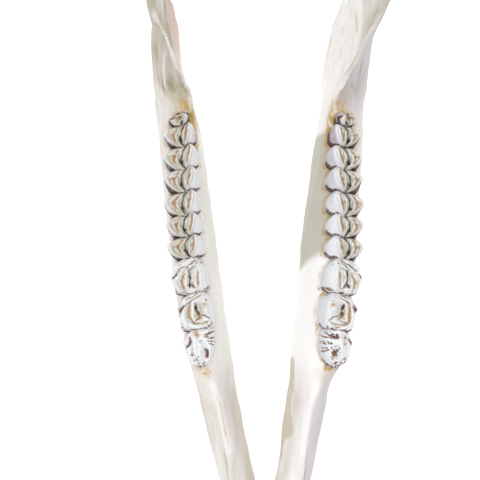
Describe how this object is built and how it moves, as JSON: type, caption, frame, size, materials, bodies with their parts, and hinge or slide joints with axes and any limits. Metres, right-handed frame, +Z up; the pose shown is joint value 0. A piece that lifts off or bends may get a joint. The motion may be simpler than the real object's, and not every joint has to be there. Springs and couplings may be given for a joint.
{
  "type": "giraffe lower jaw bone",
  "caption": "Dry lower jaw bone of an adult giraffe, both halves with their teeth, lying teeth up as on a museum table.",
  "frame": {"origin": "middle of the jaw's box at the level it lies on: the middle plane between the two halves, half way along the jaw", "axes": "+Z up, +Y from the chin towards the jaw joints, +X to the animal's left; the right half is at -X"},
  "size_m": [0.1591, 0.5022, 0.244],
  "materials": {
    "bone": "dry cream-white bone with a soft dull sheen, darker around the tooth sockets",
    "tooth": "ivory-white enamel, half glossy, worn to brown dentine in the middle of each cheek tooth"
  },
  "bodies": {
    "root": {"left_jawbone": "bone", "right_jawbone": "bone"}
  },
  "joints": []
}
